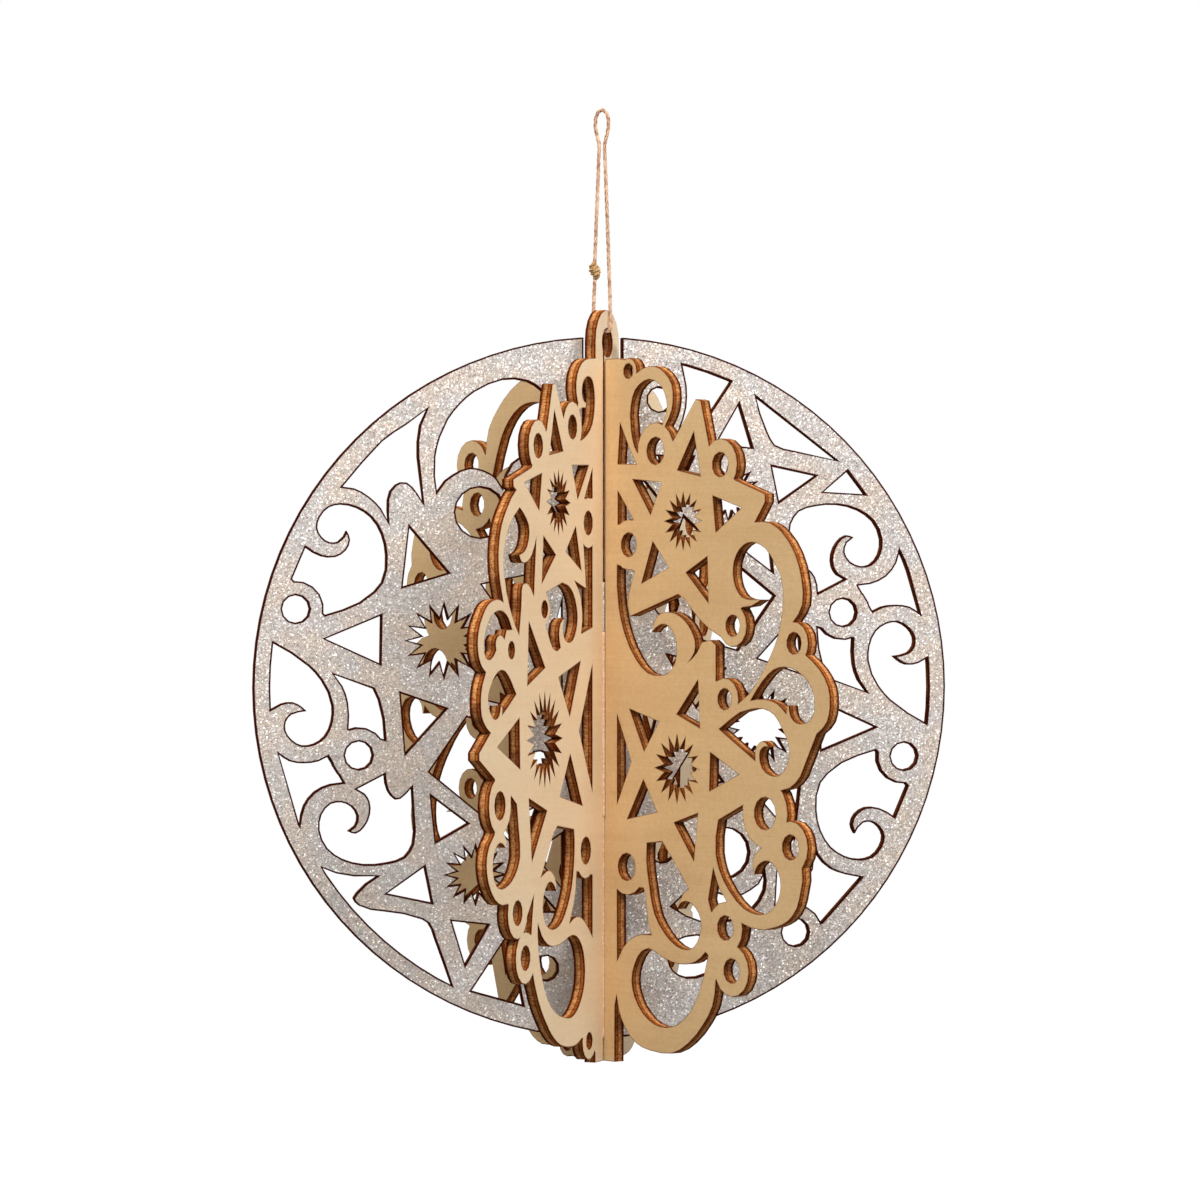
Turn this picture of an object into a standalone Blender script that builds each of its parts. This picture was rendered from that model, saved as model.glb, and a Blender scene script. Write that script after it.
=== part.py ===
"""Wooden snowflake ornament: three fretted plywood sheets crossed on one axis and hung on a loop of twine.

The origin is the top of the cord's loop, where a twig or a hook carries it. +Z is up, the glitter disc lies
in the XZ plane with its front towards -Y, and the two panels cross it at 60 degrees.
"""

from math import acos, ceil, cos, pi, radians, sin, sqrt, tan

import bmesh
import bpy
from mathutils import Vector
from mathutils.geometry import delaunay_2d_cdt

# Driving dimensions, in metres
SHEET_THICKNESS = 0.003
DISC_RADIUS = 0.090
PANEL_RADIUS = 0.090
RIM_WIDTH = 0.0044
DISC_PATTERN_RISE = 0.001
PANEL_DROP = 0.0058
PANEL_ANGLE = radians(60)

# The three-way cross lap
DISC_SLOT_CLEARANCE = 0.0024
PANEL_SLOT_CLEARANCE = 0.0005
UPPER_LAP_HEIGHT = 0.0275
LOWER_LAP_DEPTH = 0.0334
LAP_GAP = 0.0003

# Round eyelets in the fretwork: each hole's radius and the width of wood round it
CORNER_BORE = 0.00195
CORNER_WALL = 0.00145
SMALL_BORE = 0.0022
SMALL_WALL = 0.0026
MIDDLE_BORE = 0.0027
MIDDLE_WALL = 0.0026
RING_BORE = 0.0031
RING_WALL = 0.0034
LARGE_BORE = 0.0035
LARGE_WALL = 0.0037
WIDE_BORE = 0.00405
WIDE_WALL = 0.0045

# Five-armed stars, for a star of the smallest size: the windows in the arms and the rayed hole in the middle
STAR_WINDOW_BASE = 0.0133
STAR_WINDOW_TIP = 0.0232
STAR_WINDOW_SPREAD = 20.5
SUN_ROOT_SHARE = 0.57

# Hanging tab and cord
EYE_BORE = 0.0038
EYE_WALL = 0.0047
EYE_HEIGHT = 0.0885
TAB_FOOT_SHARE = 0.95
CORD_DIAMETER = 0.001
CORD_CLEARANCE = 0.0003
LOOP_HEIGHT = 0.0599
LOOP_WIDTH = 0.0036
LOOP_NECK_WIDTH = 0.0015
LOOP_NECK_DEPTH = 0.0094
LOOP_STRAIGHT_SHARE = 0.9
KNOT_RADIUS = 0.0016
KNOT_LENGTH = 0.0044
KNOT_HEIGHT = 0.0187
KNOT_LEAN = 0.85

KNOT_COILS = 3
KNOT_GROOVE_SHARE = 0.17
KNOT_ROWS = 13
KNOT_SIDES = 12

# How far a facet may stand off the curve that it follows, and how close two corners are made one
FACET_ERROR = 0.00013
RIM_ERROR = 0.00005
MERGE = 0.00002

# The sheets are drawn on a grid of ninetieths of their radius, s outwards from the axis and z up
GRID = 90
SHARP = True
WOOD = True
GAP = False
BOTH = (False, True)
DRAWN = (False,)
TURNED = (True,)


def slope_at(before, here, after):
    """The direction in which a smooth curve passes a point, for each unit of its length."""
    back = (here - before).length
    ahead = (after - here).length
    return ((here - before) / back * ahead + (after - here) / ahead * back) / (back + ahead)


def turn_between(first, second):
    """The angle between two directions."""
    return acos(max(-1.0, min(1.0, first.normalized().dot(second.normalized()))))


def curve_between(start, end, leave, arrive, steps):
    """Points on a cubic curve from one place to the next, with the last one left off."""
    for step in range(steps):
        t = step / steps
        yield (
            (2 * t**3 - 3 * t**2 + 1) * start
            + (t**3 - 2 * t**2 + t) * leave
            + (3 * t**2 - 2 * t**3) * end
            + (t**3 - t**2) * arrive
        )


def facets(chord, leave, arrive):
    """How many straight facets follow such a curve closely."""
    turn = turn_between(leave, chord) + turn_between(chord, arrive)
    return max(1, ceil(sqrt(chord.length * turn / 8 / FACET_ERROR)))


def smooth_outline(points):
    """A closed outline through the points: straight between two sharp corners, one smooth curve elsewhere."""
    places = [Vector(point[:2]) for point in points]
    sharp = [len(point) > 2 for point in points]
    outline = []
    for i, start in enumerate(places):
        j = (i + 1) % len(places)
        end = places[j]
        if sharp[i] and sharp[j]:
            outline.append(start)
            continue
        chord = end - start
        leave = None if sharp[i] else slope_at(places[i - 1], start, end) * chord.length
        arrive = None if sharp[j] else slope_at(start, end, places[(j + 1) % len(places)]) * chord.length
        if leave is None:
            leave = (3 * chord - arrive) / 2
        if arrive is None:
            arrive = (3 * chord - leave) / 2
        outline.extend(curve_between(start, end, leave, arrive, facets(chord, leave, arrive)))
    return outline


def area_of(outline):
    """The outline's area, below zero where it runs clockwise."""
    return sum(start.cross(end) for start, end in zip(outline, outline[1:] + outline[:1])) / 2


def polar(centre, radius, degrees):
    """The point at a distance and a bearing from a centre."""
    return centre + radius * Vector((cos(radians(degrees)), sin(radians(degrees))))


def circle(centre, radius, error=FACET_ERROR):
    """A round outline."""
    count = ceil(2 * pi / sqrt(8 * error / radius))
    return [polar(centre, radius, 360 * k / count) for k in range(count)]


def half_ring(radius, width, bearing):
    """Half of a ring about the middle of a sheet, from a bearing onwards."""
    count = ceil(pi / sqrt(8 * RIM_ERROR / radius))
    turns = [bearing + 180 * k / count for k in range(count + 1)]
    middle = Vector((0, 0))
    inner = [polar(middle, radius - width, turn) for turn in reversed(turns)]
    return [polar(middle, radius, turn) for turn in turns] + inner


def sun(centre, radius, rays):
    """A round hole whose edge is cut into pointed rays."""
    outline = []
    for ray in range(rays):
        bearing = 360 / rays * ray
        outline.append(polar(centre, radius, bearing))
        outline.append(polar(centre, radius * SUN_ROOT_SHARE, bearing + 180 / rays))
    return outline


class Drawing:
    """A sheet's fretwork, painted in order: each later outline covers those before it.

    An outline is drawn once and painted twice, the second time turned half a turn about the centre.
    """

    def __init__(self, radius, rise=0.0):
        self.unit = radius / GRID
        self.centre = Vector((0, rise))
        self.shapes = []

    def spot(self, s, z):
        return Vector((s, z)) * self.unit

    def paint(self, kind, outline, halves=BOTH):
        ordered = outline if area_of(outline) > 0 else outline[::-1]
        for turned in halves:
            there = [self.centre + (-point if turned else point) for point in ordered]
            self.shapes.append((kind, there))

    def cut(self, outlines, halves=BOTH):
        for points in outlines:
            scaled = [(point[0] * self.unit, point[1] * self.unit, *point[2:]) for point in points]
            self.paint(GAP, smooth_outline(scaled), halves)

    def silhouette(self, side):
        """The solid sheet: one side's outline from top to foot, and the same side turned half a turn."""
        scaled = [(s * self.unit, z * self.unit, *mark) for s, z, *mark in side]
        other = [(-s, -z, *mark) for s, z, *mark in scaled]
        self.paint(WOOD, smooth_outline(scaled + other), DRAWN)

    def eyelets(self, places, bore, wall, halves=BOTH):
        for s, z in places:
            self.paint(WOOD, circle(self.spot(s, z), bore + wall), halves)
        for s, z in places:
            self.paint(GAP, circle(self.spot(s, z), bore), halves)

    def star(self, place, size, turn, sun_size, rays):
        """The windows of a five-armed star: a triangle in each arm and a rayed sun in the middle."""
        centre = self.spot(*place)
        base = STAR_WINDOW_BASE * size
        for arm in range(5):
            bearing = turn + 72 * arm
            window = [
                polar(centre, base, bearing - STAR_WINDOW_SPREAD),
                polar(centre, STAR_WINDOW_TIP * size, bearing),
                polar(centre, base, bearing + STAR_WINDOW_SPREAD),
            ]
            self.paint(GAP, window)
        self.paint(GAP, sun(centre, sun_size * self.unit, rays))

    def slot(self, clearance, low, high):
        """A straight slot on the axis, clear of the crossing sheets, from one height to another."""
        crossing = min(PANEL_ANGLE, pi - 2 * PANEL_ANGLE)
        half = SHEET_THICKNESS / 2 / tan(crossing / 2) + clearance
        corners = [(half, low), (half, high), (-half, high), (-half, low)]
        self.shapes.append((GAP, [Vector(corner) for corner in corners]))


def draw_disc():
    """The round sheet: a plain rim round two pairs of stars, scrolls that start at the rim, and eyelets."""
    disc = Drawing(DISC_RADIUS, DISC_PATTERN_RISE)
    inside = DISC_RADIUS - RIM_WIDTH / 2 - DISC_PATTERN_RISE
    disc.paint(WOOD, circle(Vector((0, 0)), inside, RIM_ERROR), DRAWN)
    hooked_scroll = [
        (71.6, -17.6, SHARP), (59, -23.6), (57.1, -25.9), (56, -32.8), (57.1, -38.2), (59.8, -42.5),
        (63.3, -44.8), (67.5, -45.7), (70.6, -45), (72.9, -42.5), (73.6, -39.8), (72.5, -37.5),
        (70.6, -36.2), (68.3, -36.3), (66.9, -37.6), (66.1, -39.1, SHARP), (65.2, -36.7), (66.3, -34),
        (69, -32.3), (72.5, -32.5), (76.6, -34.8, SHARP), (80, -26.8, SHARP),
    ]
    rim_spiral = [
        (85.5, -10.8, SHARP), (80.2, -7.8), (75.6, -4.4), (72.5, -0.9), (69.8, 5.6), (70, 9.5),
        (71.7, 13.3), (74.4, 15.2), (77.5, 15.6), (80.2, 14.1), (81.7, 11.8), (81.6, 9.5), (80.2, 7.8),
        (78.4, 7.2), (76.3, 6.9, SHARP), (77.5, 5.8), (79.8, 4.6), (82.9, 5), (85.8, 6.6, SHARP),
    ]
    arm_sliver = [
        (69.3, -2.4, SHARP), (67.1, 0.6), (65.7, 4.8), (65.6, 11.4, SHARP), (56.3, 14.2, SHARP),
        (57.9, 4.1), (59.2, 1.3, SHARP),
    ]
    rim_corner = [
        (83.4, 17.8, SHARP), (80.6, 19.7), (77.1, 20.2), (73.3, 19.7), (70.8, 18.5, SHARP),
        (67, 25.1, SHARP), (70.2, 25.5), (74.4, 27.5), (77.1, 31), (78.1, 36, SHARP),
    ]
    great_scroll = [
        (63.4, 26.8, SHARP), (56.4, 23.2, SHARP), (55.6, 27.3), (53.6, 29.6), (49.4, 26.5, SHARP),
        (49, 34.1), (49.2, 41), (51.3, 44.2), (55.6, 45.6), (61.7, 46), (67.1, 44.6), (71, 41.8),
        (73, 37.2), (72.5, 33.3), (70.2, 30.6), (67.5, 30.2), (64.8, 31.4), (63.4, 33.7), (64, 36.2),
        (65.8, 37.6, SHARP), (63.8, 38.2), (61.5, 36.4), (60.1, 33.3), (60.2, 30), (61.5, 27.9),
    ]
    top_corner = [
        (20.7, 82.4, SHARP), (34, 78.6, SHARP), (23.3, 62.6, SHARP), (20, 65, SHARP), (21.8, 71),
        (21.9, 76.5),
    ]
    middle_gap = [
        (31.5, 33.4, SHARP), (44.8, 22.5, SHARP), (35.2, 8.6, SHARP), (24.2, 11.8, SHARP),
        (22.6, 29.4, SHARP),
    ]
    spine_slivers = [
        [(10.5, 52.5, SHARP), (10.5, 38.5, SHARP), (17.8, 43.5, SHARP)],
        [(10.5, 5.5, SHARP), (13.8, -8.8, SHARP), (10.5, -22, SHARP)],
    ]
    disc.cut([hooked_scroll, rim_spiral, arm_sliver, rim_corner, great_scroll, top_corner, middle_gap])
    disc.cut(spine_slivers)

    joined_tip = [
        [(68.8, 48.8, SHARP), (57.9, 49.4, SHARP), (64.2, 54.8, SHARP)],
        [(61.5, 57.5, SHARP), (50, 60), (45, 61.5), (43, 65), (40, 74, SHARP)],
    ]
    free_tip = [
        (73, 46.6, SHARP), (68.8, 48.3), (64.2, 49.1), (58.2, 49.1, SHARP), (63.6, 53.4), (64.4, 54.7),
        (62.9, 56.6), (56.6, 58.1), (46.6, 60.3), (45.1, 61.3), (43.5, 65), (41, 71.9),
        (39.1, 77.3, SHARP), (43, 77.8, SHARP), (52, 73, SHARP), (62, 65, SHARP), (71, 54, SHARP),
    ]
    upper_corner = [
        (67.1, -50.3, SHARP), (64.2, -49.9), (60.4, -47.8), (57.3, -44.8), (55.4, -41.3, SHARP),
        (53.5, -50.9), (52.3, -51.5), (46.4, -46.1, SHARP), (47.3, -53), (47.9, -58), (47.9, -61.8),
        (47.3, -66.1), (45.4, -70.2, SHARP), (50.8, -66.1, SHARP), (57, -61.8), (62, -56.4),
    ]
    crescent = [
        (42.9, -49.1, SHARP), (43.4, -53), (43.3, -58), (42.1, -63), (40.1, -67.4), (37, -71.4),
        (33.3, -74.6), (29.5, -76.6), (25.8, -77.8), (22.6, -78), (19.5, -77.4), (16, -75.2),
        (13.4, -71), (13.2, -65.5), (16.5, -59.6, SHARP), (23.5, -56.5), (26, -50.2, SHARP),
        (27.6, -52.7), (30.8, -54.6), (34.5, -55.3), (38.6, -53.6), (40.8, -52),
    ]
    lower_corner = [
        (67.8, -50.5, SHARP), (63.8, -49.7), (60, -48.3), (56.2, -44.5), (55.2, -41.3, SHARP),
        (53.5, -50.9), (52, -52), (45.8, -46.5, SHARP), (45.2, -57.5, SHARP), (50.4, -64.5, SHARP),
        (57.5, -61.9, SHARP),
    ]
    lower_crescent = [
        (42.3, -48.5, SHARP), (42.2, -53.5), (39, -58.4), (33, -61.2), (26, -61.4), (18, -57.5, SHARP),
        (26, -50.2, SHARP), (27.6, -52.7), (30.8, -54.6), (34.5, -55.3), (38.6, -53.6), (40.8, -52),
    ]
    foot_hole = [
        (17.2, -71), (18.4, -74), (22, -75.8), (27, -74.9), (31, -71.8), (31.6, -68), (27.5, -65.6),
        (21.5, -65.5), (17.9, -67.6),
    ]
    disc.cut([free_tip, upper_corner, crescent], TURNED)
    disc.cut([*joined_tip, lower_corner, lower_crescent, foot_hole], DRAWN)
    disc.eyelets([(50.4, -64.5)], LARGE_BORE, LARGE_WALL, DRAWN)
    loop_hole = circle(disc.spot(31.8, -43.8), 6.4 * disc.unit)
    disc.paint(GAP, loop_hole)

    disc.eyelets([(79.1, -19.1), (63, 18.2)], LARGE_BORE, LARGE_WALL)
    for place in ((14.8, 73), (16.5, 20.5), (15.5, -43)):
        disc.paint(GAP, circle(disc.spot(*place), RING_BORE))
    disc.star((33, 48.9), size=1, turn=11.5, sun_size=7.4, rays=16)
    disc.star((41.1, -11), size=1.31, turn=-1, sun_size=9.3, rays=16)
    for bearing in (0, 180):
        disc.shapes.append((WOOD, half_ring(DISC_RADIUS, RIM_WIDTH, bearing)))
    return disc


def draw_hanger_panel():
    """The panel with the hanging tab: hooks at both ends of the spine, stars, scrolls and eyelets."""
    panel = Drawing(PANEL_RADIUS)
    panel.silhouette([
        (8.7, 90, SHARP), (13.5, 89.7), (18.2, 88.3), (21.3, 85.2), (22.1, 81.5), (20.7, 78, SHARP),
        (24.6, 71.9, SHARP), (30.9, 74.1, SHARP), (36.4, 82.4, SHARP), (38.3, 82.2, SHARP),
        (42.3, 70.7, SHARP), (48, 66.5, SHARP), (52.5, 61, SHARP), (64.6, 57.8, SHARP),
        (64.4, 55.9, SHARP), (62.7, 55.2, SHARP), (65.7, 53.3), (69, 50.3), (72, 46.7), (73.7, 42.7),
        (74.2, 37.7), (73.3, 33), (71, 27.7, SHARP), (73.3, 28.3), (77, 28.2), (81, 27), (84.3, 24.3),
        (86.7, 21), (87.5, 17.7), (86.7, 14.3), (84.3, 11.7), (82.3, 10.7, SHARP), (84.3, 8),
        (85.5, 4.3), (85, 0.3), (83, -2), (79.3, -4, SHARP), (86.5, -8.7, SHARP), (86.5, -10.5, SHARP),
        (76.7, -15.3, SHARP), (73.2, -21.9, SHARP), (76.9, -28.9, SHARP), (79.7, -31), (81.7, -34.3),
        (81.7, -37.7), (79.7, -41.7), (76.3, -44.7), (71.7, -46.3), (68, -46.2, SHARP),
        (61.7, -48.7, SHARP), (56.5, -60.1, SHARP), (51.5, -64.5, SHARP), (50.3, -67.3), (47.7, -71.7),
        (43, -77), (37.7, -81.3), (32.3, -83.7), (27, -84.5), (21.7, -84.3), (18, -83, SHARP),
        (12.9, -84.1, SHARP), (8.7, -87.3, SHARP), (8.7, -90, SHARP),
    ])
    hook_hole = [
        (13.5, 85.1), (16.6, 84), (18, 81.7), (17.3, 79.3), (15, 78.3, SHARP), (15.3, 77, SHARP),
        (17.7, 77), (20.5, 76.2, SHARP), (21, 70, SHARP), (19.8, 68.5, SHARP), (14.3, 70.3),
        (10.7, 73.2), (9.3, 77), (9.3, 81.5), (10.6, 84.1),
    ]
    spine_triangle = [(10.7, 61.7, SHARP), (10.7, 54.2, SHARP), (16.3, 54, SHARP)]
    spine_gap = [
        (10.7, 42.3, SHARP), (16.9, 42.3, SHARP), (15, 31, SHARP), (23.3, 33.1, SHARP), (19.7, 30),
        (18, 26.3), (17.7, 23), (18.5, 19.7, SHARP), (10.7, 21.3, SHARP),
    ]
    middle_scroll = [
        (31.7, 32.5, SHARP), (42.7, 30, SHARP), (39.7, 25.7), (43, 21.7, SHARP), (41.7, 20.3),
        (38.3, 16.3), (35, 15.5), (32.9, 16.3, SHARP), (34, 19.7), (33, 22.3), (30.1, 23.7, SHARP),
        (31.3, 21.3), (31, 19.7), (29.7, 18.2), (27.3, 17.5), (24.3, 18.2), (22.3, 20.3), (21.2, 23.3),
        (21.7, 26.3), (24.3, 30), (27.7, 31.8),
    ]
    great_scroll = [
        (49.3, 43.8, SHARP), (50, 38.3), (51, 29.3, SHARP), (55.3, 32.3), (58.3, 32), (59.3, 27),
        (60.7, 19.7, SHARP), (63, 21.7), (66.7, 26.3), (69, 30.3), (70.3, 34.3), (70.9, 38.3),
        (70, 41.7), (67, 46.3), (60.3, 50.9, SHARP), (54, 45), (55.3, 41.7), (57.7, 40),
        (60.7, 39.3, SHARP), (59, 37.5), (57, 37.3), (55, 37.7), (52.3, 39.3), (50.3, 41.7),
    ]
    upper_loop = [
        (65.3, 21, SHARP), (67.7, 23.7), (71, 25.3), (74.3, 25.5), (77.7, 24.7), (81, 22.3),
        (83, 19.3), (83.5, 16.7), (82.3, 14.3), (79.3, 13.8), (75.7, 16, SHARP), (75.9, 18.3),
        (73.3, 19.8), (70.3, 18.7, SHARP), (69, 20.9, SHARP),
    ]
    leaf = [
        (62.7, 5.1, SHARP), (65.7, 8), (69.7, 10.7), (73, 11), (76.3, 9.7), (79.3, 7), (80.7, 4.7),
        (80.2, 2.3), (78.3, -0.1), (76, -0.8), (73.7, 0.1), (72.7, 2.5, SHARP), (71.5, 2, SHARP),
        (71.8, 0.2, SHARP), (68.3, 2),
    ]
    waist = [(10.7, 11.8, SHARP), (20, -5, SHARP), (10.7, -20.7, SHARP)]
    crescent = [
        (66, -19.8, SHARP), (62.3, -22, SHARP), (61, -28.3), (60.2, -35), (61.7, -37.7), (65.7, -40.7),
        (69.7, -42), (74.3, -41.9), (76.6, -40.1), (77.7, -37.5), (77.5, -35), (76, -32.3), (73, -31),
        (69.7, -32.3, SHARP), (68.5, -31, SHARP), (70.7, -28.7, SHARP), (67.3, -25),
    ]
    bay = [
        (23.7, -29.8, SHARP), (35, -28.5, SHARP), (37.7, -30.3, SHARP), (46.2, -40.7, SHARP),
        (44.3, -40), (41, -39.2), (37.7, -40.3), (35.8, -42.7), (35.7, -44.7, SHARP), (37.7, -42.9),
        (40.3, -42.2), (43, -43.7), (44.7, -46.7), (44.7, -49.7), (43, -52.3), (40.7, -53.7),
        (36.3, -54), (32.3, -52.7), (28.3, -49), (25.3, -44.3), (23.7, -38.3), (23.3, -32.3),
    ]
    wing = [
        (10.7, -42, SHARP), (21.7, -40.5, SHARP), (22.3, -44.3), (24, -49), (26.7, -53.3, SHARP),
        (23.7, -52.2), (19.7, -52), (15.7, -53.7), (10.7, -57.7, SHARP),
    ]
    wedge = [
        (50.9, -44.7, SHARP), (53, -47.3), (56, -50.5, SHARP), (58, -53.7, SHARP), (52.7, -54.5, SHARP),
        (52, -50),
    ]
    foot_scroll = [
        (16, -66), (18.3, -59.3), (21.7, -57), (25, -56.5), (30, -57.6, SHARP), (37.7, -58.5),
        (41.7, -57.7), (45.7, -55.3), (48.3, -52.1, SHARP), (48.3, -55.3), (47.3, -60.7), (45.3, -66),
        (41.7, -71.3), (36.3, -75), (30.3, -76.7), (25.7, -77.1), (21.7, -75.7), (18.3, -72.7),
        (16.3, -68.7),
    ]
    panel.cut([hook_hole, spine_triangle, spine_gap, middle_scroll, great_scroll, upper_loop, leaf])
    panel.cut([waist, crescent, bay, wing, wedge, foot_scroll])
    rings = [(24.6, 71.9), (48, 66.5), (13.6, 47.8), (61.7, -48.7), (56.5, -60.1)]
    panel.eyelets(rings, RING_BORE, RING_WALL)
    panel.eyelets([(73.2, -21.9), (15.3, -35.5)], LARGE_BORE, LARGE_WALL)
    panel.eyelets([(65.7, 15.9), (12.9, -84.1)], SMALL_BORE, SMALL_WALL)
    panel.paint(GAP, circle(panel.spot(43.7, 25.9), SMALL_BORE))
    panel.star((34.3, 52.7), size=1, turn=11, sun_size=8.1, rays=16)
    panel.star((43.6, -6.5), size=1.345, turn=-2, sun_size=12, rays=20)

    eye = Vector((0, EYE_HEIGHT + PANEL_DROP))
    tab = EYE_BORE + EYE_WALL
    foot = PANEL_RADIUS * TAB_FOOT_SHARE
    stem = [Vector((tab, foot)), Vector((tab, eye.y)), Vector((-tab, eye.y)), Vector((-tab, foot))]
    panel.paint(WOOD, stem, DRAWN)
    panel.paint(WOOD, circle(eye, tab), DRAWN)
    panel.paint(GAP, circle(eye, EYE_BORE), DRAWN)
    return panel


def draw_scroll_panel():
    """The panel without a tab: loops at both ends of the spine, stars, scrolls and eyelets."""
    panel = Drawing(PANEL_RADIUS)
    panel.silhouette([
        (8, 90, SHARP), (12.5, 89.5, SHARP), (15.7, 86, SHARP), (18, 87), (23, 87.5), (27, 85.7),
        (29.7, 82.7), (30.3, 79.3), (29.7, 76), (27.5, 72.7, SHARP), (23.4, 66, SHARP),
        (30.5, 68.5, SHARP), (39.2, 78.6, SHARP), (41.1, 78.2, SHARP), (44.5, 66.5, SHARP),
        (48.7, 62, SHARP), (54.5, 58, SHARP), (65.8, 54.4, SHARP), (65.8, 52.4, SHARP),
        (62, 47.5, SHARP), (67.5, 47.3), (72, 45), (76.8, 39.8), (79.5, 33), (79.7, 27),
        (76, 22.5, SHARP), (76.6, 17.6, SHARP), (80.7, 14.9, SHARP), (86, 11.3), (89.3, 7), (89.9, 2.5),
        (88.8, -1.5), (85, -4.5, SHARP), (83.3, -7.5), (81, -11.5), (79, -15), (75, -18),
        (71.7, -18.7, SHARP), (65.7, -24.5, SHARP), (75.3, -32.5, SHARP), (79.6, -37.3, SHARP),
        (79.8, -40.6), (79.1, -43.3), (77.7, -47.3), (74.3, -50.7), (70.3, -52.3), (65.7, -53.3),
        (60.3, -53, SHARP), (56.7, -52, SHARP), (50.7, -53.5, SHARP), (53.1, -64.1, SHARP),
        (47, -66.7, SHARP), (45.7, -73.3), (42.3, -78), (36.3, -83.3), (29.7, -86.3), (25.7, -86.5),
        (21, -86.1), (15.7, -84.7), (11, -80.7), (8.7, -76.7), (7.7, -72.7, SHARP), (7, -76, SHARP),
        (7, -90, SHARP),
    ])
    top_loop = [
        (20.7, 84.2), (25.8, 82.1), (27.9, 77), (26, 72.3), (24, 68, SHARP), (16.2, 65.7, SHARP),
        (15, 67.3), (13.7, 71.3), (13.3, 75.3), (15.2, 81.6),
    ]
    spine_triangles = [
        [(9.2, 73.5, SHARP), (13, 66.7, SHARP), (15.8, 62.8, SHARP), (8.3, 63, SHARP)],
        [(8.3, 56.1, SHARP), (14.5, 48.7, SHARP), (8.3, 47.5, SHARP)],
    ]
    great_scroll = [
        (8, 37.2, SHARP), (15, 35.5, SHARP), (13.7, 32.3), (12.2, 27.3), (13.3, 24, SHARP),
        (32.3, 29.6, SHARP), (35, 28.3), (37.7, 25.7), (44.3, 21), (50.3, 18.3, SHARP),
        (57, 26.3, SHARP), (60.7, 26.7), (64.3, 28.3, SHARP), (60.7, 28.3), (57, 29), (54.7, 31.3),
        (53.7, 34.3), (54, 37.7), (56, 40.7), (59, 42.3), (62.3, 42.3), (65.7, 41), (69, 37.7),
        (71.7, 33.7), (72.5, 29), (72, 24.3), (70.7, 19.7), (67.7, 14.3), (64.3, 9.7), (59.3, 4.7),
        (55.3, 2.3, SHARP), (52, 8.3, SHARP), (47, 8, SHARP), (47, 17, SHARP), (45, 18.2, SHARP),
        (41.7, 17.7, SHARP), (39.6, 15), (36, 12.4, SHARP), (38.7, 15), (39, 17.7), (37.7, 20.3),
        (35, 23), (31, 24.9), (27, 25.1), (24.3, 24.3), (22.7, 22.3), (22, 20, SHARP), (23.3, 21),
        (25.7, 22), (28.3, 21.7), (31, 19), (31.8, 15.7), (31, 12.3), (28.3, 9.7), (25, 9.1),
        (20.3, 9.7), (15.7, 13), (11, 19.7), (8.7, 26.3), (8, 31.7),
    ]
    right_loop = [
        (60.3, 3.3, SHARP), (65, 8.3), (69, 11), (73, 11.7), (77.7, 10.7), (81.7, 8.3), (84, 4.3),
        (84, 1), (82.3, -1.3), (80, -2), (77.5, -1.9), (75.4, -0.4), (74.7, 2.3, SHARP),
        (74.1, 2.3, SHARP), (73.7, 0.3, SHARP), (70.3, 2.7), (65.7, 3.7),
    ]
    leaf = [
        (48.3, -4, SHARP), (52.3, -1.7), (56.3, 0.3), (60.3, 1.1), (65, 1.3), (69, 0), (72.3, -3.7),
        (74.3, -7), (74.7, -10.3), (73.3, -13.3), (70.7, -15), (67.7, -15), (64.7, -13.3), (63.7, -11),
        (64, -9), (65.7, -8), (67.3, -8, SHARP), (64.9, -6.6), (62.5, -8), (62, -11.5, SHARP),
        (55, -7.7, SHARP),
    ]
    waist = [(8, -1, SHARP), (13.7, -13, SHARP), (8, -24, SHARP)]
    crescent = [
        (58, -22.5, SHARP), (48, -26.7, SHARP), (47, -35), (48.3, -39), (52.3, -44.3), (57.7, -48.3),
        (62.3, -49.5), (66.3, -49.1), (69.3, -47.3), (71.3, -44), (71.3, -40.3), (69.7, -37.7),
        (67, -36.2), (64.3, -36.7), (62.3, -38.3), (61.7, -39.7, SHARP), (61, -37), (61.7, -35),
        (64.3, -33.1, SHARP), (60.3, -31), (58.3, -27.7), (57.7, -24.3),
    ]
    bay = [
        (20, -33.5, SHARP), (26, -32.9, SHARP), (27.3, -34.3), (31.7, -39), (36.3, -44.3, SHARP),
        (34.3, -45.7), (33, -47.3), (32, -49.7, SHARP), (33.7, -48), (36.3, -47.7), (39, -49),
        (41, -51.7), (41.3, -53.8), (40.3, -56.7), (38.3, -59), (35.7, -59.7), (31.7, -59), (27, -56),
        (23, -51.3), (21, -44.3), (19.8, -37.7),
    ]
    wing = [
        (8, -44.9, SHARP), (18.7, -45, SHARP), (19.3, -46.7), (20.3, -53.3), (21.7, -56.7, SHARP),
        (17.7, -56.8), (13.7, -58), (10.3, -60.7), (8, -64.1, SHARP),
    ]
    wedge = [
        (46, -38.7, SHARP), (48.3, -43.7), (51.1, -46.9, SHARP), (48.3, -48), (45.3, -49.7, SHARP),
        (44.1, -46.7, SHARP),
    ]
    foot_scroll = [
        (13.9, -68.7), (15, -64.7), (17.7, -61.3), (20.7, -60.3), (26.3, -62.3), (30.3, -63.3),
        (35, -63.5), (39, -62.7), (43, -60, SHARP), (44, -60.7, SHARP), (42.3, -66), (40.3, -70.7),
        (37, -75.3), (32.3, -78.7), (27.7, -79.8), (23, -79.3), (18.3, -76.7), (15, -72.7),
    ]
    panel.cut([top_loop, *spine_triangles, great_scroll, right_loop, leaf, waist, crescent, bay])
    panel.cut([wing, wedge, foot_scroll])
    rings = [(48.7, 62), (12.7, 42.3), (75.3, -32.5), (50.7, -53.5), (53.1, -64.1)]
    panel.eyelets(rings, RING_BORE, RING_WALL)
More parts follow.
